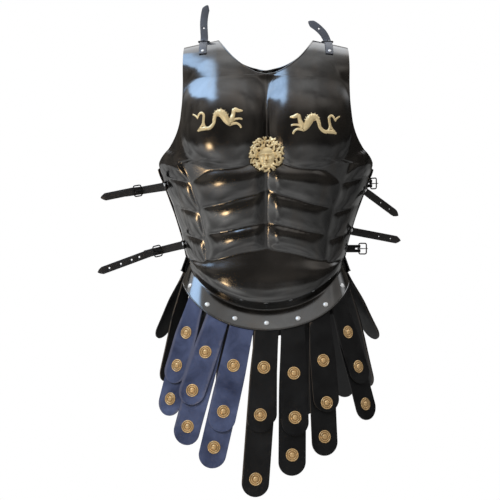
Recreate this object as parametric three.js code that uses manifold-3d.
// Muscle cuirass: a blackened steel breastplate and backplate hung from a stand by the shoulders.
// Millimetres, +Z up, the breastplate faces -Y. The origin is the top of the bar that carries the shoulders.
import * as THREE from "three";
import { mergeVertices } from "three/addons/utils/BufferGeometryUtils.js";
import Module from "manifold-3d";

const wasm = await Module();
wasm.setup();

// Driving dimensions of the steel
const sheet = 1.5;
const sideGap = 12;
const chestHalfWidth = 208;
const rimHalfWidth = 164;
const shoulderDrop = 15;
const neckHalfWidth = 95;
const shoulderHalfWidth = 160;
const rollRadius = 1.9;

// Driving dimensions of the leather, the straps and the trim
const leather = 2.4;
const seat = 0.5;
const beltBelowRim = 13;
const beltAboveRim = 26;
const beltReach = 228;
const stripBelowRim = 3;
const stripWidth = 51;
const stripTopWidth = 46;
const stripDrop = 307;
const studRadius = 12;
const studHeight = 3.6;
const rivetRadius = 4.4;
const rivetHeight = 2.6;
const rivetAboveRim = 15;
const rivetPitch = 62;
const strapWidth = 15;
const strapThickness = 2.2;

const degree = Math.PI / 180;
const weld = 1e-4;
const up = new THREE.Vector3(0, 0, 1);

const steel = new THREE.MeshStandardMaterial({ color: 0x24221f, roughness: 0.22, metalness: 1 });
const blackLeather = new THREE.MeshStandardMaterial({ color: 0x14130f, roughness: 0.6, metalness: 0 });
const blueLeather = new THREE.MeshStandardMaterial({ color: 0x2c3657, roughness: 0.55, metalness: 0 });
const brass = new THREE.MeshStandardMaterial({ color: 0xc9a254, roughness: 0.3, metalness: 1 });
const blackIron = new THREE.MeshStandardMaterial({ color: 0x191919, roughness: 0.4, metalness: 1 });

// Small helpers

const vec = (x, y, z) => new THREE.Vector3(x, y, z);
const mix = (a, b, t) => a + (b - a) * t;
const clamp01 = (t) => Math.min(1, Math.max(0, t));
const ease = (t) => clamp01(t) ** 2 * (3 - 2 * clamp01(t));

// A smooth curve through a table of [position, value] rows.
function follow(table, at) {
  const last = table.length - 1;
  if (at <= table[0][0]) return table[0][1];
  if (at >= table[last][0]) return table[last][1];
  let k = 0;
  while (table[k + 1][0] < at) k += 1;
  const slope = (i) => {
    const before = table[Math.max(0, i - 1)];
    const after = table[Math.min(last, i + 1)];
    return (after[1] - before[1]) / (after[0] - before[0]);
  };
  const width = table[k + 1][0] - table[k][0];
  const t = (at - table[k][0]) / width;
  const rise = t * t * (3 - 2 * t);
  return (
    mix(table[k][1], table[k + 1][1], rise) +
    width * (t * (1 - t) * (1 - t) * slope(k) - t * t * (1 - t) * slope(k + 1))
  );
}

function solidOf(geometry) {
  const bare = geometry.clone();
  bare.deleteAttribute("normal");
  bare.deleteAttribute("uv");
  const merged = mergeVertices(bare, weld);
  return new wasm.Manifold(
    new wasm.Mesh({
      numProp: 3,
      vertProperties: merged.attributes.position.array,
      triVerts: new Uint32Array(merged.index.array),
    }),
  );
}

function geometryOf(solid) {
  const made = solid.getMesh();
  const positions = new Float32Array(made.numVert * 3);
  for (let i = 0; i < made.numVert; i += 1) {
    for (let k = 0; k < 3; k += 1) positions[3 * i + k] = made.vertProperties[made.numProp * i + k];
  }
  const geometry = new THREE.BufferGeometry();
  geometry.setAttribute("position", new THREE.BufferAttribute(positions, 3));
  geometry.setIndex(new THREE.BufferAttribute(made.triVerts, 1));
  geometry.computeVertexNormals();
  return geometry;
}

const joined = (solids) => solids.reduce((whole, one) => whole.add(one));

function piece(name, solid, material) {
  const mesh = new THREE.Mesh(geometryOf(solid), material);
  mesh.name = name;
  return mesh;
}

// A closed solid from an open skin: the skin's points, moved against their normals for the other face.
function thicken(points, triangles, thickness, lift = 0) {
  const normals = points.map(() => vec(0, 0, 0));
  for (const [a, b, c] of triangles) {
    const across = points[b].clone().sub(points[a]).cross(points[c].clone().sub(points[a]));
    for (const i of [a, b, c]) normals[i].add(across);
  }
  const count = points.length;
  const positions = [];
  for (const depth of [lift, lift - thickness]) {
    points.forEach((p, i) => {
      const n = normals[i].clone().normalize();
      positions.push(p.x + n.x * depth, p.y + n.y * depth, p.z + n.z * depth);
    });
  }
  const faces = [];
  const edges = new Set();
  for (const [a, b, c] of triangles) {
    faces.push(a, b, c, a + count, c + count, b + count);
    for (const [from, to] of [[a, b], [b, c], [c, a]]) edges.add(`${from} ${to}`);
  }
  for (const edge of edges) {
    const [from, to] = edge.split(" ").map(Number);
    if (edges.has(`${to} ${from}`)) continue;
    faces.push(to, from, from + count, to, from + count, to + count);
  }
  const geometry = new THREE.BufferGeometry();
  geometry.setAttribute("position", new THREE.Float32BufferAttribute(positions, 3));
  geometry.setIndex(faces);
  return solidOf(geometry);
}

// Triangles of a grid of rows by columns whose points are listed row by row.
function gridTriangles(rows, columns, flip = false) {
  const triangles = [];
  for (let j = 0; j < rows; j += 1) {
    for (let i = 0; i < columns; i += 1) {
      const a = j * (columns + 1) + i;
      const [b, c, d] = [a + 1, a + columns + 2, a + columns + 1];
      triangles.push(...(flip ? [[a, c, b], [a, d, c]] : [[a, b, c], [a, c, d]]));
    }
  }
  return triangles;
}

// A round bead along a line of points, closed by flat ends.
function bead(line, radius, sides = 6) {
  const positions = [];
  const faces = [];
  line.forEach((p, k) => {
    const along = line[Math.min(k + 1, line.length - 1)].clone().sub(line[Math.max(k - 1, 0)]).normalize();
    const first = along.clone().cross(up).normalize();
    const second = along.clone().cross(first);
    for (let i = 0; i < sides; i += 1) {
      const turn = (2 * Math.PI * i) / sides;
      const at = p.clone().addScaledVector(first, radius * Math.cos(turn));
      at.addScaledVector(second, radius * Math.sin(turn));
      positions.push(at.x, at.y, at.z);
    }
  });
  for (let k = 0; k + 1 < line.length; k += 1) {
    for (let i = 0; i < sides; i += 1) {
      const [a, b] = [k * sides + i, k * sides + ((i + 1) % sides)];
      faces.push(a, b, b + sides, a, b + sides, a + sides);
    }
  }
  const end = (line.length - 1) * sides;
  for (let i = 1; i + 1 < sides; i += 1) faces.push(0, i + 1, i, end, end + i, end + i + 1);
  const geometry = new THREE.BufferGeometry();
  geometry.setAttribute("position", new THREE.Float32BufferAttribute(positions, 3));
  geometry.setIndex(faces);
  return solidOf(geometry);
}

// A turned piece, its axis along `axis` from `base`.
function turned(profile, segments, base, axis) {
  const geometry = new THREE.LatheGeometry(profile.map(([r, h]) => new THREE.Vector2(r, h)), segments);
  const turn = new THREE.Quaternion().setFromUnitVectors(vec(0, 1, 0), axis.clone().normalize());
  geometry.applyQuaternion(turn).translate(base.x, base.y, base.z);
  return solidOf(geometry);
}

// The body that both plates are hammered over.
// A plate's point is given by an angle round the body from its middle line, and by how far down it lies,
// as a share of the plate's height.

const squareness = 0.22;
const acrossAt = (angle) => Math.sin(angle) * (1 + squareness * Math.cos(angle) ** 2);
const depthAt = (angle) => Math.cos(angle) * (1 + squareness * Math.sin(angle) ** 2);

function angleFor(across) {
  let [low, high] = [0, 90 * degree];
  for (let i = 0; i < 40; i += 1) {
    const middle = (low + high) / 2;
    if (acrossAt(middle) < across) low = middle;
    else high = middle;
  }
  return (low + high) / 2;
}

const frontPlate = {
  facing: -1,
  height: 562,
  depth: 118,
  rimDepth: 126,
  sideRise: 88,
  neckDepth: 76,
  capShare: 0.15,
  jointShare: 0.937,
  armpitShare: 0.437,
  riseShare: 0.74,
  halfWidth: chestHalfWidth,
  rimHalfWidth,
  depthShares: [[0, 0.72], [0.15, 0.74], [0.234, 0.88], [0.325, 0.96], [0.427, 1], [0.54, 0.97],
    [0.66, 0.92], [0.77, 0.9], [0.85, 0.95], [0.9, 0.95], [0.937, 0.83]],
  widthShares: [[0, 1], [0.3, 1], [0.437, 1], [0.508, 0.94], [0.6, 0.85], [0.655, 0.805], [0.711, 0.765],
    [0.772, 0.738], [0.937, 0.725]],
  armholeShares: [[0, 0.769], [0.1, 0.772], [0.173, 0.769], [0.24, 0.774], [0.305, 0.796], [0.355, 0.838],
    [0.4, 0.911], [0.437, 1]],
};

const backPlate = {
  facing: 1,
  height: 524,
  depth: 112,
  rimDepth: 112,
  sideRise: 71,
  neckDepth: 46,
  capShare: 0.14,
  jointShare: 0.93,
  armpitShare: 0.48,
  riseShare: 0.8,
  halfWidth: chestHalfWidth + 6,
  rimHalfWidth: rimHalfWidth + 4,
  depthShares: [[0, 0.66], [0.14, 0.68], [0.25, 0.93], [0.36, 1], [0.5, 0.94], [0.65, 0.8], [0.8, 0.7],
    [0.88, 0.74], [0.93, 0.72]],
  widthShares: [[0, 1], [0.3, 1], [0.48, 1], [0.545, 0.94], [0.643, 0.85], [0.703, 0.805], [0.763, 0.765],
    [0.83, 0.738], [0.93, 0.725]],
  armholeShares: [[0, 0.748], [0.12, 0.752], [0.24, 0.757], [0.32, 0.79], [0.38, 0.83], [0.44, 0.91],
    [0.48, 1]],
};

// The smooth body, before its muscles. Below the joint the flange runs straight to the rim.
function bodyPoint(plate, angle, down) {
  const level = Math.min(down, plate.jointShare);
  const cap = Math.sqrt(1 - (1 - Math.min(1, level / plate.capShare)) ** 2);
  let halfWidth = plate.halfWidth * follow(plate.widthShares, level);
  let depth = plate.depth * follow(plate.depthShares, level) * cap;
  let drop = plate.height * level;
  if (down > plate.jointShare) {
    const flare = (down - plate.jointShare) / (1 - plate.jointShare);
    halfWidth = mix(halfWidth, plate.rimHalfWidth, flare);
    depth = mix(depth, plate.rimDepth, flare);
    drop = plate.height * down;
  }
  const risen = ease((down - plate.riseShare) / (plate.jointShare - plate.riseShare));
  const rise = plate.sideRise * Math.sin(angle) ** 2 * risen;
  const x = halfWidth * acrossAt(angle);
  const slope = shoulderDrop * clamp01((Math.abs(x) - neckHalfWidth) / (shoulderHalfWidth - neckHalfWidth));
  const fade = clamp01(1 - down / plate.capShare) ** 2;
  return vec(x, plate.facing * (sideGap / 2 + depth * depthAt(angle)), rise - drop - slope * fade);
}

function bodyNormal(plate, angle, down) {
  const step = 0.004;
  const [above, below] = [Math.max(0.001, down - step), Math.min(1, down + step)];
  const round = bodyPoint(plate, angle + step, down).sub(bodyPoint(plate, angle - step, down));
  const drop = bodyPoint(plate, angle, below).sub(bodyPoint(plate, angle, above));
  return round.cross(drop).multiplyScalar(plate.facing).normalize();
}

// Muscles of the breastplate, as heights above the body

const pecHeight = 17;
const abHeight = 11;
const flankHeight = 8;
const bellyHeight = 8;
const sternumDepth = 5;
const bladeHeight = 9;
const spineDepth = 8;
const sternumWidth = 28;

// Creases of the belly, as [share of the half width, share of the height] rows, from the chest down
const creaseShares = [
  [[0, 0.443], [0.19, 0.454], [0.385, 0.461], [0.5, 0.473], [0.66, 0.505], [1, 0.559]],
  [[0, 0.521], [0.077, 0.546], [0.28, 0.568], [0.43, 0.585], [0.577, 0.592], [1, 0.61]],
  [[0, 0.644], [0.1, 0.653], [0.22, 0.662], [0.385, 0.676], [0.54, 0.683], [1, 0.7]],
  [[0, 0.729], [0.14, 0.735], [0.29, 0.746], [0.43, 0.763], [0.6, 0.782], [1, 0.8]],
];
// Creases of the flank, as shares of the height where they meet the groove beside the belly
const flankShares = [0.411, 0.511, 0.612, 0.703, 0.78, 0.822];
const flankSlantShare = 0.15;
// Where the belly ends and the flank begins, as [share of the height, share of the half width] rows
const grooveShares = [[0.427, 0.8], [0.498, 0.7], [0.56, 0.645], [0.61, 0.6], [0.66, 0.575], [0.711, 0.555],
  [0.762, 0.545], [0.813, 0.53]];
const midlineShare = 0.06;
const fingerTipShare = 0.16;
const crestShare = 0.6;
const sideFadeShare = 0.7;
// The chest muscle's middle, and how far it reaches from there
const chestShares = { across: 0.4, level: 0.31, inner: 0.4, outer: 0.385, above: 0.24, below: 0.152 };

// A muscle's height: full on its crest, down to nothing along a rounded outline.
const swell = (rise, side, corner) => Math.max(0, 1 - rise ** 2 - side ** corner) ** 0.8;

// The height in a row of muscles that meet at the creases `levels`, their crests below their middles
function rowRelief(levels, level, side, corner) {
  for (let k = 0; k + 1 < levels.length; k += 1) {
    if (level < levels[k] || level >= levels[k + 1]) continue;
    const w = (level - levels[k]) / (levels[k + 1] - levels[k]);
    return swell(w < crestShare ? 1 - w / crestShare : (w - crestShare) / (1 - crestShare), side, corner);
  }
  return 0;
}

function chestRelief(across, level) {
  const aside = across - chestShares.across;
  const wide = aside > 0 ? (aside / chestShares.outer) ** 2 : (-aside / chestShares.inner) ** 3;
  const low = level - chestShares.level;
  const tall = low > 0 ? low / chestShares.below : -low / chestShares.above;
  const inside = 1 - wide - tall ** 2.3;
  const soft = low > 0 ? 0.6 : mix(0.6, 1.3, clamp01(tall * 1.4));
  return inside > 0 ? pecHeight * inside ** soft : 0;
}

function bellyRelief(across, level) {
  const groove = follow(grooveShares, level);
  if (across < groove) {
    const creases = creaseShares.map((rows) => follow(rows, across));
    const middle = 1 - 0.9 * Math.exp(-((across / midlineShare) ** 2));
    return abHeight * middle * rowRelief(creases, level, across / groove, 5);
  }
  const tip = clamp01(1 - (across - groove) / fingerTipShare);
  const edge = across / follow(frontPlate.widthShares, level);
  const fade = 1 - sideFadeShare * ease((edge - 0.85) / 0.15);
  return flankHeight * fade * rowRelief(flankShares, level + flankSlantShare * (across - groove), tip, 2.5);
}

function lowBellyRelief(across, down) {
  const top = follow(creaseShares[3], across);
  return bellyHeight * rowRelief([top, frontPlate.jointShare], down, Math.min(1, across / 0.7), 3);
}

const reliefs = new Map([
  [frontPlate, (x, z, down) => {
    if (down > frontPlate.jointShare) return 0;
    const [across, level] = [Math.abs(x) / chestHalfWidth, -z / frontPlate.height];
    const sternum = -sternumDepth * Math.exp(-Math.abs(x) / sternumWidth) * ease((0.457 - down) / 0.03);
    return sternum + Math.max(chestRelief(across, level), bellyRelief(across, level), lowBellyRelief(across, down));
  }],
  [backPlate, (x, z, down) => {
    if (down > backPlate.jointShare) return 0;
    const across = Math.abs(x) / chestHalfWidth;
    const bump = (cx, cd, wx, wd) => Math.exp(-(((across - cx) / wx) ** 2) - (((down - cd) / wd) ** 2));
    const blades = bladeHeight * bump(0.42, 0.27, 0.26, 0.13);
    const wings = 0.8 * bladeHeight * bump(0.66, 0.52, 0.2, 0.13);
    const loins = 0.9 * bladeHeight * bump(0.2, 0.72, 0.12, 0.16);
    const spine = -spineDepth * Math.exp(-((across / 0.06) ** 2)) * ease((0.9 - down) / 0.1);
    return blades + wings + loins + spine;
  }],
]);

function platePoint(plate, angle, down, lift = 0) {
  const p = bodyPoint(plate, angle, down);
  return p.addScaledVector(bodyNormal(plate, angle, down), reliefs.get(plate)(p.x, p.z, down) + lift);
}

// A plate's skin between its neck, armholes, sides and rim, as rows from the shoulders down.
const neckRowShare = 0.19;
const neckPower = 2.1;

function plateCoordinates(plate, column, row) {
  const neckDown = plate.neckDepth / plate.height;
  const armRow = neckRowShare + ((plate.armpitShare - neckDown) / (1 - neckDown)) * (1 - neckRowShare);
  let [innerX, innerDown] = [0, mix(neckDown, 1, (row - neckRowShare) / (1 - neckRowShare))];
  if (row < neckRowShare) {
    const left = 1 - row / neckRowShare;
    innerX = neckHalfWidth * left;
    innerDown = neckDown * (1 - left ** neckPower);
  }
  let [outerAngle, outerDown] = [90 * degree, mix(plate.armpitShare, 1, (row - armRow) / (1 - armRow))];
  if (row < armRow) {
    outerDown = (plate.armpitShare * row) / armRow;
    outerAngle = angleFor(follow(plate.armholeShares, outerDown));
  }
  const width = plate.halfWidth * follow(plate.widthShares, innerDown);
  const innerAngle = angleFor(innerX / width);
  return [mix(innerAngle, outerAngle, column), mix(innerDown, outerDown, column)];
}

function plateSkin(plate, columns, rows) {
  const points = [];
  const index = new Map();
  const neckRow = Math.round(neckRowShare * rows);
  const pointAt = (side, i, j) => {
    const key = i === 0 && j >= neckRow ? `middle ${j}` : `${side} ${i} ${j}`;
    if (!index.has(key)) {
      const row = j <= neckRow ? (neckRowShare * j) / neckRow : mix(neckRowShare, 1, (j - neckRow) / (rows - neckRow));
      const [angle, down] = plateCoordinates(plate, i / columns, row);
      const p = platePoint(plate, angle, down);
      index.set(key, points.push(vec(side * p.x, p.y, p.z)) - 1);
    }
    return index.get(key);
  };
  const triangles = [];
  for (const side of [-1, 1]) {
    for (let j = 0; j < rows; j += 1) {
      for (let i = 0; i < columns; i += 1) {
        const [a, b] = [pointAt(side, i, j), pointAt(side, i + 1, j)];
        const [c, d] = [pointAt(side, i + 1, j + 1), pointAt(side, i, j + 1)];
        const halves = (i + j) % 2 ? [[a, b, c], [a, c, d]] : [[a, b, d], [b, c, d]];
        if (side * plate.facing < 0) halves.forEach((half) => half.reverse());
        triangles.push(...halves);
      }
    }
  }
  return { points, triangles };
}

// The rim and what hangs from it

// A point on the line of the flange, `below` the rim, at an angle round the body, `inside` its outer face.
function rimPoint(plate, angle, below, inside = 0) {
  const turn = Math.abs(angle);
  const rim = bodyPoint(plate, turn, 1);
  const joint = bodyPoint(plate, turn, plate.jointShare);
  const along = rim.clone().sub(joint).normalize();
  const out = bodyNormal(plate, turn, 0.98);
  const p = rim.addScaledVector(along, below).addScaledVector(out, -inside);
  if (angle < 0) p.x = -p.x;
  return p;
}

// The angle at which the rim is `length` from its middle, measured along it.
function rimAngle(plate, length) {
  const steps = 240;
  let [walked, before] = [0, rimPoint(plate, 0, 0)];
  for (let i = 1; i <= steps; i += 1) {
    const angle = (i / steps) * 90 * degree;
    const now = rimPoint(plate, angle, 0);
    const stride = now.distanceTo(before);
    if (walked + stride >= Math.abs(length)) {
      const share = (Math.abs(length) - walked) / stride;
      return Math.sign(length) * ((i - 1 + share) / steps) * 90 * degree;
    }
    walked += stride;
    before = now;
  }
  return Math.sign(length) * 90 * degree;
}

const outwardAt = (plate, angle) => {
  const n = bodyNormal(plate, Math.abs(angle), 0.98);
  if (angle < 0) n.x = -n.x;
  return n;
};

function rivetHead(base, axis) {
  const sunk = 0.5 * sheet;
  const profile = [[0, -sunk], [rivetRadius, -sunk], [rivetRadius, 0.3 * rivetHeight],
    [0.65 * rivetRadius, 0.85 * rivetHeight], [0, rivetHeight]];
  return turned(profile, 8, base, axis);
}

const rivetPlaces = [-3, -2, -1, 0, 1, 2, 3].map((k) => k * rivetPitch);

const fitGap = 0.3;
const clearances = [];

function buildPlate(plate, { columns, rows }) {
  const { points, triangles } = plateSkin(plate, columns, rows);
  const shell = thicken(points, triangles, sheet);
  clearances.push(thicken(points, triangles, sheet + 2 * fitGap, fitGap));
  const rimLine = [];
  const rimSteps = 2 * columns;
  for (let i = 0; i <= rimSteps; i += 1) {
    const angle = mix(-90, 90, i / rimSteps) * degree;
    rimLine.push(rimPoint(plate, angle, 0, sheet / 2));
  }
  const neckLine = [];
  const neckSteps = Math.round(neckRowShare * rows);
  for (let i = -neckSteps; i <= neckSteps; i += 1) {
    const row = neckRowShare * (1 - Math.abs(i) / neckSteps);
    const [angle, down] = plateCoordinates(plate, 0, row);
    const p = platePoint(plate, angle, down, -sheet / 2);
    neckLine.push(vec(Math.sign(i) * p.x, p.y, p.z));
  }
  const heads = rivetPlaces.map((place) => {
    const angle = rimAngle(plate, place);
    return rivetHead(rimPoint(plate, angle, -rivetAboveRim), outwardAt(plate, angle));
  });
  return joined([shell, bead(rimLine, rollRadius), bead(neckLine, rollRadius, 5), ...heads]);
}

// The leather belt is riveted behind the flange. Its lower edge hangs straight down, behind the strips it carries.
const flangeGap = rollRadius / 2 + 1.4 * seat;
const layer = leather + seat;
const stripInside = 2 * seat;
const beltInside = stripInside + 2 * layer + 0.4 * seat;

// A point under the rim: `below` it and `inside` it, on the level.
function hangPoint(plate, angle, below, inside) {
  const out = outwardAt(plate, angle).setZ(0).normalize();
  return rimPoint(plate, angle, 0).addScaledVector(out, -inside).addScaledVector(up, -below);
}

function buildBelt(plate) {
  const columns = 26;
  const levels = [
    (angle) => rimPoint(plate, angle, -beltAboveRim, sheet + flangeGap),
    (angle) => rimPoint(plate, angle, -0.35 * beltAboveRim, sheet + flangeGap),
    (angle) => hangPoint(plate, angle, 0.8 * stripBelowRim, beltInside),
    (angle) => hangPoint(plate, angle, beltBelowRim, beltInside),
  ];
  const points = [];
  for (const pointAt of levels) {
    for (let i = 0; i <= columns; i += 1) {
      points.push(pointAt(rimAngle(plate, mix(-beltReach, beltReach, i / columns))));
    }
  }
  return thicken(points, gridTriangles(levels.length - 1, columns, plate.facing < 0), leather);
}

// Where one strip hangs from, and the way it falls. It follows the belt's curve at its top and is flat at its tip,
// which is turned towards the front.
const edgeStep = 2;

function stripFrame(plate, place, { lean, flare, turn }) {
  const [before, top, after] = [-edgeStep, 0, edgeStep].map((along) =>
    hangPoint(plate, rimAngle(plate, place + along), stripBelowRim, stripInside));
  const edge = after.sub(before).normalize();
  const level = vec(edge.x, edge.y, 0).normalize();
  const out = vec(level.y, -level.x, 0);
  if (out.y * plate.facing < 0) out.negate();
  const [leans, flares] = [lean * degree, flare * degree];
  const fall = vec(0, 0, -Math.cos(flares) * Math.cos(leans))
    .addScaledVector(out, Math.sin(flares))
    .addScaledVector(level, Math.sin(leans))
    .normalize();
  const across = level.clone().applyAxisAngle(up, turn * degree);
  across.addScaledVector(fall, -across.dot(fall)).normalize();
  const face = across.clone().cross(fall).normalize();
  if (face.dot(out) < 0) face.negate();
  return { top, fall, across, face, edge, out };
}

const tipAngles = [0, 40, 72];

// A strip's leather, `inside` the outermost layer. `sway` swings its tip sideways in its own plane.
function buildStrip(plate, place, frame, length, inside, sway, studs) {
  const columns = 3;
  const radius = stripWidth / 2;
  const aside = (down) => Math.tan(sway * degree) * Math.max(0, down);
  const rows = [0, 0.12, 0.35, 0.7].map((share) => {
    const down = share * (length - radius);
    return { down, half: mix(stripTopWidth / 2, radius, ease(down / (0.5 * length))) };
  });
  for (const turn of tipAngles) {
    rows.push({ down: length - radius + radius * Math.sin(turn * degree), half: radius * Math.cos(turn * degree) });
  }
  const flatPoint = (down, u) => frame.top.clone().addScaledVector(frame.face, -inside)
    .addScaledVector(frame.fall, down).addScaledVector(frame.across, u + aside(down));
  const points = [];
  for (const { down, half } of rows) {
    for (let i = 0; i <= columns; i += 1) {
      const u = mix(-1, 1, i / columns) * half;
      const angle = rimAngle(plate, place + u + aside(down));
      const hung = hangPoint(plate, angle, stripBelowRim, stripInside + inside).addScaledVector(frame.fall, down);
      points.push(hung.lerp(flatPoint(down, u), ease(down / (0.45 * length))));
    }
  }
  const flip = frame.across.clone().cross(frame.fall).dot(frame.face) < 0;
  let solid = thicken(points, gridTriangles(rows.length - 1, columns, flip), leather);
  for (const share of studs) {
    const profile = [[0, -0.4 * leather], [studRadius, -0.4 * leather], [studRadius, 0.4 * studHeight],
      [0, studHeight]];
    solid = solid.add(turned(profile, 8, flatPoint(share * stripDrop, 0), frame.face));
  }
  return solid;
}

// The strips from the wearer's right to left. Angles are in degrees; `place` is a share of the belt's reach;
// lengths and the studs' places are shares of the longest strip.
const frontStripShares = [
  { place: -0.684, lean: -8.5, flare: 13, turn: 14, sway: 1,
    short: 0.511, long: 0.713, studs: [0.19, 0.4], low: 0.609 },
  { place: -0.43, lean: -16, flare: 11, turn: 2, sway: 3.6,
    short: 0.544, long: 0.782, studs: [0.21, 0.456], low: 0.671 },
  { place: -0.208, lean: -11.3, flare: 9, turn: 0, sway: -0.9,
    short: 0.638, long: 0.863, studs: [0.231, 0.515], low: 0.736 },
  { place: 0, lean: -4.3, flare: 7, turn: 0, sway: 0,
    short: 0.612, long: 1, studs: [0.221, 0.508], low: 0.893 },
  { place: 0.219, lean: 0.2, flare: 8, turn: 0, sway: -1.5,
    short: 0.651, long: 0.889, studs: [0.274, 0.541], low: 0.765 },
  { place: 0.465, lean: 0.5, flare: 10, turn: 0, sway: -1.9,
    short: 0.577, long: 0.837, studs: [0.264, 0.521], low: 0.723 },
  { place: 0.7, lean: 9.4, flare: 13, turn: -9, sway: -1.5,
    short: 0.524, long: 0.749, studs: [0.195, 0.417], low: 0.651 },
];

const backStripShares = [
  { place: -0.89, lean: 2, flare: 24, turn: -14, sway: 0, lowFlare: 13,
    short: 0.46, long: 0.72, studs: [0.16, 0.36], low: 0.62 },
  { place: -0.6, lean: -3, flare: 15, turn: 0, sway: 0,
    short: 0.53, long: 0.76, studs: [0.2, 0.43], low: 0.66 },
  { place: -0.3, lean: -2, flare: 11, turn: 0, sway: 0,
    short: 0.55, long: 0.8, studs: [0.2, 0.45], low: 0.69 },
  { place: 0, lean: 0, flare: 9, turn: 0, sway: 0,
    short: 0.57, long: 0.84, studs: [0.2, 0.46], low: 0.72 },
  { place: 0.3, lean: 2, flare: 11, turn: 0, sway: 0,
    short: 0.55, long: 0.8, studs: [0.2, 0.45], low: 0.69 },
  { place: 0.6, lean: 3, flare: 15, turn: 0, sway: 0,
    short: 0.53, long: 0.76, studs: [0.2, 0.43], low: 0.66 },
  { place: 0.89, lean: -2, flare: 27, turn: 14, sway: 0, lowFlare: 14,
    short: 0.48, long: 0.76, studs: [0.16, 0.37], low: 0.66 },
];

const frontGrid = { columns: 11, rows: 34 };
const backGrid = { columns: 8, rows: 18 };

const cuirass = new THREE.Group();
cuirass.add(piece("front_plate", buildPlate(frontPlate, frontGrid), steel));
cuirass.add(piece("back_plate", buildPlate(backPlate, backGrid), steel));
cuirass.add(piece("front_belt", buildBelt(frontPlate), blackLeather));
cuirass.add(piece("back_belt", buildBelt(backPlate), blackLeather));

function hangStrips(side, plate, strips) {
  strips.forEach((strip, k) => {
    const place = strip.place * beltReach;
    const frame = stripFrame(plate, place, strip);
    const lowFrame = stripFrame(plate, place, { ...strip, flare: strip.lowFlare ?? strip.flare });
    const colour = side === "front" && k < 3 ? blueLeather : blackLeather;
    const upper = buildStrip(plate, place, frame, strip.short * stripDrop, 0, 0, strip.studs);
    const lower = buildStrip(plate, place, lowFrame, strip.long * stripDrop, layer, strip.sway, [strip.low]);
    cuirass.add(piece(`${side}_strip_upper_${k + 1}`, upper, colour));
    cuirass.add(piece(`${side}_strip_lower_${k + 1}`, lower, colour));
  });
}

hangStrips("front", frontPlate, frontStripShares);
hangStrips("back", backPlate, backStripShares);

// Straps and buckles
// A buckle's own frame: u runs from the bar to the far side of the frame, n points out of the strap.

const wire = 1.3;
const frameLength = 15;
const frameHalfWidth = 10.6;
const prongRadius = 1;
const chapeLayer = 1.5;
const play = 0.4;
const frameCorner = 2.5;
const foldLength = 9;
const slotHalfWidth = prongRadius + play;
const prongLift = wire + play + prongRadius;
const billetBelow = -(wire + play + strapThickness / 2);
const billetAbove = prongLift + prongRadius + play + strapThickness / 2;

class Place {
  constructor(origin, u, n) {
    this.origin = origin;
    this.u = u.clone().normalize();
    this.n = n.clone().addScaledVector(this.u, -n.dot(this.u)).normalize();
    this.w = this.n.clone().cross(this.u);
  }

  at(u, w, n) {
    return this.origin.clone().addScaledVector(this.u, u).addScaledVector(this.w, w).addScaledVector(this.n, n);
  }
}

// A flat strap along a path, its width along `across`, or flat against `faces` where they are given.
// It ends in a point when `tip` is more than 0.
function ribbon(path, across, width, thickness, tip = 0, faces = []) {
  const rows = path.map((p, k) => ({ p, half: width / 2, lies: faces[k] }));
  if (tip > 0) {
    const [last, before] = [path.at(-1), path.at(-2)];
    const along = last.clone().sub(before).normalize();
    rows.at(-1).p = last.clone().addScaledVector(along, -tip);
    rows.push({ p: last, half: 0.08 * width });
  }
  const positions = [];
  rows.forEach(({ p, half, lies }, k) => {
    const after = rows[Math.min(k + 1, rows.length - 1)].p;
    const before = rows[Math.max(k - 1, 0)].p;
    const along = after.clone().sub(before).normalize();
    let side = across.clone().addScaledVector(along, -across.dot(along)).normalize();
    if (lies) {
      const turned = along.clone().cross(lies).normalize();
      side = turned.multiplyScalar(Math.sign(turned.dot(side)));
    }
    const face = side.clone().cross(along);
    for (const [s, f] of [[-1, -1], [1, -1], [1, 1], [-1, 1]]) {
      const corner = p.clone().addScaledVector(side, s * half).addScaledVector(face, (f * thickness) / 2);
      positions.push(corner.x, corner.y, corner.z);
    }
  });
  const skin = [0, 2, 1, 0, 3, 2];
  for (let k = 0; k + 1 < rows.length; k += 1) {
    for (let i = 0; i < 4; i += 1) {
      const [a, b] = [4 * k + i, 4 * k + ((i + 1) % 4)];
      skin.push(a, b, b + 4, a, b + 4, a + 4);
    }
  }
  const end = 4 * (rows.length - 1);
  skin.push(end, end + 1, end + 2, end, end + 2, end + 3);
  const geometry = new THREE.BufferGeometry();
  geometry.setAttribute("position", new THREE.Float32BufferAttribute(positions, 3));
  geometry.setIndex(skin);
  const solid = solidOf(geometry);
  return solid.volume() < 0 ? solidOf(flipped(geometry)) : solid;
}

function flipped(geometry) {
  const turnedOver = geometry.clone();
  const index = Array.from(geometry.index.array);
  for (let i = 0; i < index.length; i += 3) [index[i + 1], index[i + 2]] = [index[i + 2], index[i + 1]];
  turnedOver.setIndex(index);
  return turnedOver;
}

// A block lying in a buckle's frame, for slots and holes.
function block(place, [uFrom, uTo], [wFrom, wTo], [nFrom, nTo]) {
  const geometry = new THREE.BoxGeometry(uTo - uFrom, wTo - wFrom, nTo - nFrom);
  geometry.translate((uFrom + uTo) / 2, (wFrom + wTo) / 2, (nFrom + nTo) / 2);
  const turn = new THREE.Matrix4().makeBasis(place.u, place.w, place.n).setPosition(place.origin);
  geometry.applyMatrix4(turn);
  return solidOf(geometry);
}

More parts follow.
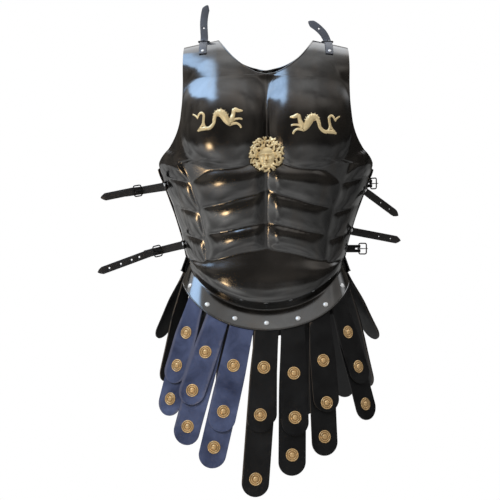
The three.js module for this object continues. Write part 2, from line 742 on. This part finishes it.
function frameRing(place) {
  const [far, side, cut] = [frameLength, frameHalfWidth, frameCorner];
  const corners = [[0, -side + cut], [0, side - cut], [cut, side], [far - cut, side], [far, side - cut],
    [far, -side + cut], [far - cut, -side], [cut, -side]];
  const sides = 6;
  const positions = [];
  corners.forEach(([u, w], k) => {
    const [bu, bw] = corners[(k + corners.length - 1) % corners.length];
    const [au, aw] = corners[(k + 1) % corners.length];
    const before = new THREE.Vector2(u - bu, w - bw).normalize();
    const after = new THREE.Vector2(au - u, aw - w).normalize();
    const along = before.clone().add(after).normalize();
    const stretch = 1 / along.dot(after);
    for (let i = 0; i < sides; i += 1) {
      const turn = (2 * Math.PI * (i + 0.5)) / sides;
      const across = wire * Math.cos(turn) * stretch;
      const p = place.at(u + along.y * across, w - along.x * across, wire * Math.sin(turn));
      positions.push(p.x, p.y, p.z);
    }
  });
  const faces = [];
  for (let k = 0; k < corners.length; k += 1) {
    const next = ((k + 1) % corners.length) * sides;
    for (let i = 0; i < sides; i += 1) {
      const [a, b] = [k * sides + i, k * sides + ((i + 1) % sides)];
      const [c, d] = [next + ((i + 1) % sides), next + i];
      faces.push(a, b, c, a, c, d);
    }
  }
  const geometry = new THREE.BufferGeometry();
  geometry.setAttribute("position", new THREE.Float32BufferAttribute(positions, 3));
  geometry.setIndex(faces);
  const solid = solidOf(geometry);
  return solid.volume() < 0 ? solidOf(flipped(geometry)) : solid;
}

// The prong hooks round the bar and lies over the far side of the frame.
function prong(place) {
  const radius = prongLift;
  const path = [];
  const hook = [20, -25, -70, -115, -160, -205, -250];
  for (const turn of hook) path.push(place.at(radius * Math.cos(turn * degree), 0, radius * Math.sin(turn * degree)));
  path.push(place.at(0.35 * frameLength, 0, prongLift));
  path.push(place.at(frameLength + 2 * wire, 0, prongLift));
  return ribbon(path, place.w, 2 * prongRadius, 2 * prongRadius);
}

// The chape folds round the bar and is slotted for the prong; `rest` is the way from the fold to the plate.
function chape(place, rest, faces = []) {
  const radius = wire + play + chapeLayer / 2;
  const path = [place.at(-foldLength, 0, -chapeLayer / 2)];
  for (const turn of [-100, -60, -20, 20, 60, 100]) {
    path.push(place.at(radius * Math.cos(turn * degree), 0, radius * Math.sin(turn * degree)));
  }
  path.push(place.at(-foldLength, 0, chapeLayer / 2));
  const fold = ribbon(path, place.w, strapWidth, chapeLayer);
  const from = place.at(-foldLength + chapeLayer, 0, 0);
  const run = ribbon([from, ...rest], place.w, strapWidth, 2 * chapeLayer, 0, [undefined, ...faces]);
  const reach = prongLift + prongRadius + play;
  const slot = block(place, [-reach, reach], [-slotHalfWidth, slotHalfWidth], [-reach, reach]);
  return fold.add(run).subtract(slot);
}

// The way of a billet through its buckle, from the far side of the frame to the bar
const wayBefore = 6;
const wayUnder = 1;
const wayPast = 5;
const wayRise = 0.6;

const billetWay = (place) => [
  place.at(frameLength + wayBefore, 0, billetBelow),
  place.at(frameLength - wayUnder, 0, billetBelow),
  place.at(0.3 * frameLength, 0, 0.55 * billetAbove),
  place.at(0, 0, billetAbove),
  place.at(-wayPast, 0, billetAbove + wayRise),
];

const strapRivetRadius = 3.2;
const strapRivetHeight = 1.4;

// A rivet through a strap; its shank reaches down to the plate.
function strapRivet(base, axis) {
  const [radius, height] = [strapRivetRadius, strapRivetHeight];
  const sunk = strapThickness / 2;
  const foot = 2 * strapThickness + 4 * seat;
  const profile = [[0, -foot], [0.5 * radius, -foot], [0.5 * radius, -sunk], [radius, -sunk], [radius, 0.4 * height],
    [0.6 * radius, height], [0, height]];
  return turned(profile, 8, base, axis);
}

// What is left of a strap or trim piece outside both plates, with the seat's clearance round them
function fitted(solid) {
  const left = clearances.reduce((rest, one) => rest.subtract(one), solid);
  return left.decompose().reduce((best, one) => (one.volume() > best.volume() ? one : best));
}

// A point above a plate's outer face, and the way out of it
function onPlate(plate, side, angle, down, lift) {
  const p = platePoint(plate, angle * degree, down, lift);
  return vec(side * p.x, p.y, p.z);
}

function outOf(plate, side, angle, down) {
  const n = bodyNormal(plate, angle * degree, down);
  return vec(side * n.x, n.y, n.z);
}

const strapLift = strapThickness / 2 + seat;
const chapeLift = chapeLayer + seat;

function addBuckle(name, place, chapeSolid) {
  cuirass.add(piece(`${name}_buckle`, frameRing(place), blackIron));
  cuirass.add(piece(`${name}_prong`, prong(place), blackIron));
  cuirass.add(piece(`${name}_chape`, fitted(chapeSolid), blackLeather));
}

// The hole of a billet that the prong stands in, with room for the prong to lift out
const holeBehind = 0.5;
const holeFront = 4;
const holeUnder = 1;

const prongHole = (place) => {
  const along = [-holeBehind, frameLength - holeFront];
  return block(place, along, [-slotHalfWidth, slotHalfWidth], [-holeUnder, billetAbove + 2 * strapThickness]);
};

const shoulderPlace = 122;
const barAboveCrest = 7;
const pointLength = 1.1 * strapWidth;
// The loose ends above the bar, as [along, aside, above] the buckle
const shoulderTails = {
  right: [[-8, 0, 14], [-9, -1, 41], [-9, 2, 64], [-8, 7, 76]],
  left: [[-7, -3, 13], [-7, -9, 22], [-6, -21, 33], [-5, -37, 43]],
};
const shoulderCrestShare = 0.004;
const shoulderRivetShares = { back: 0.048, front: 0.05 };
const shoulderRunShares = { back: [0.012, 0.03, 0.055], front: [0.06, 0.035, 0.018, 0.008] };

function addShoulder(name, side) {
  const angle = angleFor(shoulderPlace / frontPlate.halfWidth) / degree;
  const crest = onPlate(frontPlate, side, angle, shoulderCrestShare, 0);
  const place = new Place(vec(crest.x, 0.6 * frameLength, crest.z + barAboveCrest), vec(0, -1, 0), up);
  const backRun = shoulderRunShares.back.map((down) => onPlate(backPlate, side, angle, down, chapeLift));
  const backFaces = shoulderRunShares.back.map((down) => outOf(backPlate, side, angle, down));
  const rivetAt = (plate, down, lift) =>
    strapRivet(onPlate(plate, side, angle, down, lift), outOf(plate, side, angle, down));
  const chapeRivet = rivetAt(backPlate, shoulderRivetShares.back, 2 * chapeLift);
  addBuckle(name, place, chape(place, backRun, backFaces).add(chapeRivet));
  const frontRun = shoulderRunShares.front.map((down) => onPlate(frontPlate, side, angle, down, strapLift));
  const frontFaces = shoulderRunShares.front.slice(0, 3).map((down) => outOf(frontPlate, side, angle, down));
  const tail = shoulderTails[name.split("_")[0]].map(([u, w, n]) => place.at(u, w, n));
  const path = [...frontRun, ...billetWay(place), ...tail];
  const billet = ribbon(path, vec(1, 0, 0), strapWidth, strapThickness, pointLength, frontFaces);
  const rivet = rivetAt(frontPlate, shoulderRivetShares.front, 2 * strapLift - seat);
  cuirass.add(piece(`${name}_billet`, fitted(billet.subtract(prongHole(place)).add(rivet)), blackLeather));
}

addShoulder("right_shoulder", -1);
addShoulder("left_shoulder", 1);

// Side straps. A billet is riveted to the breastplate at `billetRootAngle` round the body, `down` its height.
const billetRootAngle = 74;
const billetAngles = [billetRootAngle, 76.5, 79, 81.5, 84];
const billetFallShare = 0.0008;
const edgeLift = strapLift + 4 * seat;

function billetRoot(side, down) {
  const points = billetAngles.map((angle, k) =>
    onPlate(frontPlate, side, angle, down + billetFallShare * k, k ? edgeLift : strapLift + 2 * seat));
  const faces = billetAngles.map((angle) => outOf(frontPlate, side, angle, down));
  const out = outOf(frontPlate, side, billetRootAngle, down);
  const rivet = strapRivet(onPlate(frontPlate, side, billetRootAngle, down, 2 * strapLift - seat), out);
  return { points, faces, rivet, edge: points.at(-1) };
}

// The straps of the wearer's right side are buckled, but slack: their tails stand out.
// `slack` and `sag` lead from the plate's edge to the buckle's bar, `tail` and `tailSag` from there to the tip.
const buckledSides = {
  right_upper: { down: 0.506, slack: 60, sag: 9, tail: 65, tailSag: 13 },
  right_lower: { down: 0.7115, slack: 57, sag: 14, tail: 110, tailSag: 40 },
};
// The slack of a buckled chape, as [along, out of the buckle's face] from the end of its fold
const slackWay = [[-7, -2], [-9, -7], [-4, -11], [15, -12]];
const tailGap = 1;
const barForward = 0.25 * strapWidth;
const gapInside = 1.2 * strapWidth;

function addBuckledSide(name, { down, slack, sag, tail, tailSag }) {
  const root = billetRoot(-1, down);
  const edge = root.edge;
  const bar = vec(edge.x - slack, -barForward, edge.z - sag);
  const place = new Place(bar, vec(edge.x - bar.x, 0, edge.z - bar.z), vec(0, -1, 0));
  const layers = 2 * chapeLayer;
  const back = [...slackWay.map(([u, n]) => place.at(u - foldLength, 0, n)),
    vec(edge.x + 1.5 * layers, 0, edge.z), vec(edge.x + gapInside, 4.4 * layers, edge.z)];
  addBuckle(name, place, chape(place, back));
  const ways = billetWay(place);
  const end = vec(bar.x - tail, bar.y - billetAbove - tailGap, bar.z - tailSag);
  const path = [...root.points, ...ways, ways.at(-1).clone().lerp(end, 0.5), end];
  const billet = ribbon(path, place.w, strapWidth, strapThickness, pointLength, root.faces.slice(0, 4));
  cuirass.add(piece(`${name}_billet`, fitted(billet.subtract(prongHole(place)).add(root.rivet)), blackLeather));
}

for (const [name, strap] of Object.entries(buckledSides)) addBuckledSide(name, strap);

// The straps of the wearer's left side hang open. `reach` and `drop` lead from the plate's edge to the billet's tip.
// The chape leaves the backplate at `chapeAngle`; its buckle is turned out from the front by `turnOut` degrees.
const openSides = {
  left_upper: { down: 0.525, reach: 66, drop: 46, chapeAngle: 70, chapeDown: 0.531, chapeReach: 17, turnOut: 43 },
  left_lower: { down: 0.664, reach: 98, drop: 18, chapeAngle: 80, chapeDown: 0.782, chapeReach: 24, turnOut: 75 },
};
const chapeRun = 16;
const chapeLead = 4;
const tipForward = 0.25 * strapWidth;

function addOpenSide(name, { down, reach, drop, chapeAngle, chapeDown, chapeReach, turnOut }) {
  const root = billetRoot(1, down);
  const along = vec(reach, tipForward - root.edge.y, -drop);
  const way = along.clone().normalize();
  const hanging = [0.15, 0.55, 1].map((share) => root.edge.clone().addScaledVector(along, share));
  const across = up.clone().addScaledVector(way, -up.dot(way));
  const billet = ribbon([...root.points, ...hanging], across, strapWidth, strapThickness, pointLength, root.faces);
  cuirass.add(piece(`${name}_billet`, fitted(billet.add(root.rivet)), blackLeather));
  const angles = [chapeAngle, chapeAngle - chapeRun / 2, chapeAngle - chapeRun];
  const run = angles.map((angle) => onPlate(backPlate, 1, angle, chapeDown, chapeLift + seat));
  const lying = angles.map((angle) => outOf(backPlate, 1, angle, chapeDown));
  const [sine, cosine] = [Math.sin(turnOut * degree), Math.cos(turnOut * degree)];
  const out = vec(sine, -cosine, 0);
  const place = new Place(run[0].clone().addScaledVector(out, chapeReach), out, vec(cosine, sine, 0));
  const rivetAngle = chapeAngle - 0.85 * chapeRun;
  const backRivet = strapRivet(onPlate(backPlate, 1, rivetAngle, chapeDown, 2 * chapeLift - seat), lying[2]);
  const back = chape(place, [place.at(-foldLength - chapeLead, 0, 0), ...run], [undefined, ...lying]);
  addBuckle(name, place, back.add(backRivet));
}

for (const [name, strap] of Object.entries(openSides)) addOpenSide(name, strap);

// Brass trim of the chest, laid on the plate's face as it is seen from the front

const trimSeat = 0.5;
const serpentCell = 13;
const maskCell = 11;
const outlineSlack = 0.3;

function faceLookup(geometry) {
  const position = geometry.attributes.position.array;
  const index = geometry.index.array;
  return (x, z) => {
    let nearest = 0;
    for (let i = 0; i < index.length; i += 3) {
      const [a, b, c] = [3 * index[i], 3 * index[i + 1], 3 * index[i + 2]];
      const [ax, az, bx, bz, cx, cz] = [position[a], position[a + 2], position[b], position[b + 2], position[c], position[c + 2]];
      const area = (bx - ax) * (cz - az) - (cx - ax) * (bz - az);
      if (Math.abs(area) < 1e-9) continue;
      const s = ((x - ax) * (cz - az) - (cx - ax) * (z - az)) / area;
      const t = ((bx - ax) * (z - az) - (x - ax) * (bz - az)) / area;
      if (s < 0 || t < 0 || s + t > 1) continue;
      const y = position[a + 1] + s * (position[b + 1] - position[a + 1]) + t * (position[c + 1] - position[a + 1]);
      nearest = Math.min(nearest, y);
    }
    return nearest;
  };
}

// A flat shape laid on the breastplate, its face raised by `heightAt`.
function layTrim(shape, cell, heightAt) {
  const flat = shape.extrude(1).refineToLength(cell);
  return flat.warp((v) => {
    const [x, z, level] = [v[0], v[1], v[2]];
    const y = breastFace(x, z);
    v[0] = x;
    v[1] = y - trimSeat - level * heightAt(x, z);
    v[2] = z;
  });
}

const breastFace = faceLookup(cuirass.children[0].geometry);

// A limb of a flat figure, through points [across, up, half its width there]
function limb(points) {
  const discs = points.map(([a, b, half]) => wasm.CrossSection.circle(half, 8).translate([a, b]));
  return wasm.CrossSection.union(discs.slice(1).map((disc, k) => wasm.CrossSection.hull([discs[k], disc])));
}

// The sea serpent, as [across, up, half width] from its middle, its head towards the sternum
const serpentLimbs = {
  body: [[-36.5, 0, 1.6], [-34.1, 6, 2.2], [-29.7, 9, 2.4], [-25.2, 5.3, 2.5], [-25.1, -2.3, 2.5],
    [-25.6, -10.5, 2.7], [-22.5, -18.7, 3], [-16.3, -21, 3.6], [-10.2, -17.3, 3.4], [-5.7, -10.5, 3],
    [-4.4, -2.3, 3], [-2.2, 6, 4.4], [3.5, 9, 6.3], [9, 8, 7.2], [13.7, 2.5, 7.2], [17.9, -5, 6.2],
    [21.3, -10.5, 5], [24.7, -13, 4.2]],
  neck: [[26, -9, 5], [28.1, -2.3, 4.8], [30.5, 4.6, 3.9], [31.4, 13, 3.5], [33.6, 14.2, 4.2], [39.7, 12.1, 3.6],
    [44.5, 12, 2.6], [48.4, 12, 1.3]],
  tail: [[-46.4, 7, 1.4], [-37.2, 0.5, 1.7], [-37, -2.4, 1.3]],
  fin: [[-20.5, -20.7, 4], [-27.3, -22.1, 3.6], [-36.3, -25.9, 1.6]],
  foreleg: [[29.5, -7, 3], [36.3, -3.6, 2.3], [43.2, -2.9, 2], [48, -4.6, 1.7]],
  hindleg: [[25.4, -13.9, 3], [33.6, -11.8, 2.7], [39, -12.5, 2.2], [43.8, -16.6, 2.1], [45.6, -20.7, 1.9]],
};
const serpentPlaces = {
  right: { across: 93, height: -164, tilt: 0 },
  left: { across: 93, height: -172, tilt: 5 },
};
const serpentHeight = 4.6;

function addSerpent(name, side) {
  const { across, height, tilt } = serpentPlaces[name.split("_")[0]];
  const flat = wasm.CrossSection.union(Object.values(serpentLimbs).map(limb)).rotate(-tilt);
  const placed = flat.translate([-across, height]);
  const shape = side > 0 ? placed.mirror([1, 0]) : placed;
  cuirass.add(piece(name, fitted(layTrim(shape.simplify(outlineSlack), serpentCell, () => serpentHeight)), brass));
}

addSerpent("right_serpent", -1);
addSerpent("left_serpent", 1);

// The mask: a face in a ring of curls
const maskPlace = { across: 0, height: -233 };
const maskRadius = 31;
const curlRadius = 5;
const maskCurls = 14;
const faceHalf = { across: 16, up: 21 };
const curlHeight = 7;
const faceHeight = 8;
const noseHeight = 4;
const faceEdge = 4;
const curlInset = 1;

function addMask() {
  const { across, height } = maskPlace;
  const curls = Array.from({ length: maskCurls }, (_, k) => {
    const turn = (2 * Math.PI * k) / maskCurls;
    const reach = maskRadius - curlInset;
    const centre = [across + reach * Math.cos(turn), height + reach * Math.sin(turn)];
    return wasm.CrossSection.circle(curlRadius, 6).translate(centre);
  });
  const shape = wasm.CrossSection.union([wasm.CrossSection.circle(maskRadius, 18).translate([across, height]), ...curls]);
  const raised = (x, z) => {
    const [a, b] = [(x - across) / faceHalf.across, (z - height) / faceHalf.up];
    const away = Math.hypot(a, b);
    const face = faceHeight * Math.sqrt(Math.max(0, 1 - (0.9 * away) ** 2));
    const nose = noseHeight * clamp01(1 - Math.abs(a) / 0.3) * clamp01(1 - Math.abs(b) / 0.35);
    const ring = curlHeight * (1 - 0.6 * clamp01((away - 1.2) / 0.8) ** 2);
    return away < 1 ? Math.max(faceEdge, face) + nose : ring;
  };
  cuirass.add(piece("mask", fitted(layTrim(shape, maskCell, raised)), brass));
}

addMask();

export default cuirass;
